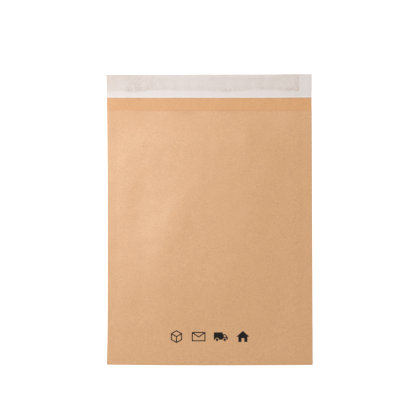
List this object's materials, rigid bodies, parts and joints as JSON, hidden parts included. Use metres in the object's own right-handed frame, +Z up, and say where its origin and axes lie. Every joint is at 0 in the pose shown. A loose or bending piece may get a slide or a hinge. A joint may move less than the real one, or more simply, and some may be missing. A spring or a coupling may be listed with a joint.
{
  "type": "kraft paper mailer",
  "caption": "Flat kraft paper mailer: a sheet folded at the bottom and glued at the sides, with an open flap that holds a seal strip under a peel-off liner.",
  "frame": {"origin": "on the surface that the mailer lies on, under the middle of its length and width", "axes": "+Y from the bottom fold to the flap, +X across the mailer, +Z up out of the front panel"},
  "size_m": [0.306, 0.4334, 0.0072],
  "materials": {
    "kraft_paper": "matt machine-finished brown kraft",
    "seal_adhesive": "pale amber pressure-sensitive hot melt",
    "liner_paper": "translucent glassine with a soft satin face"
  },
  "bodies": {
    "root": {"kraft_pouch": "kraft_paper", "adhesive_band": "seal_adhesive", "release_liner": "liner_paper"}
  },
  "joints": []
}
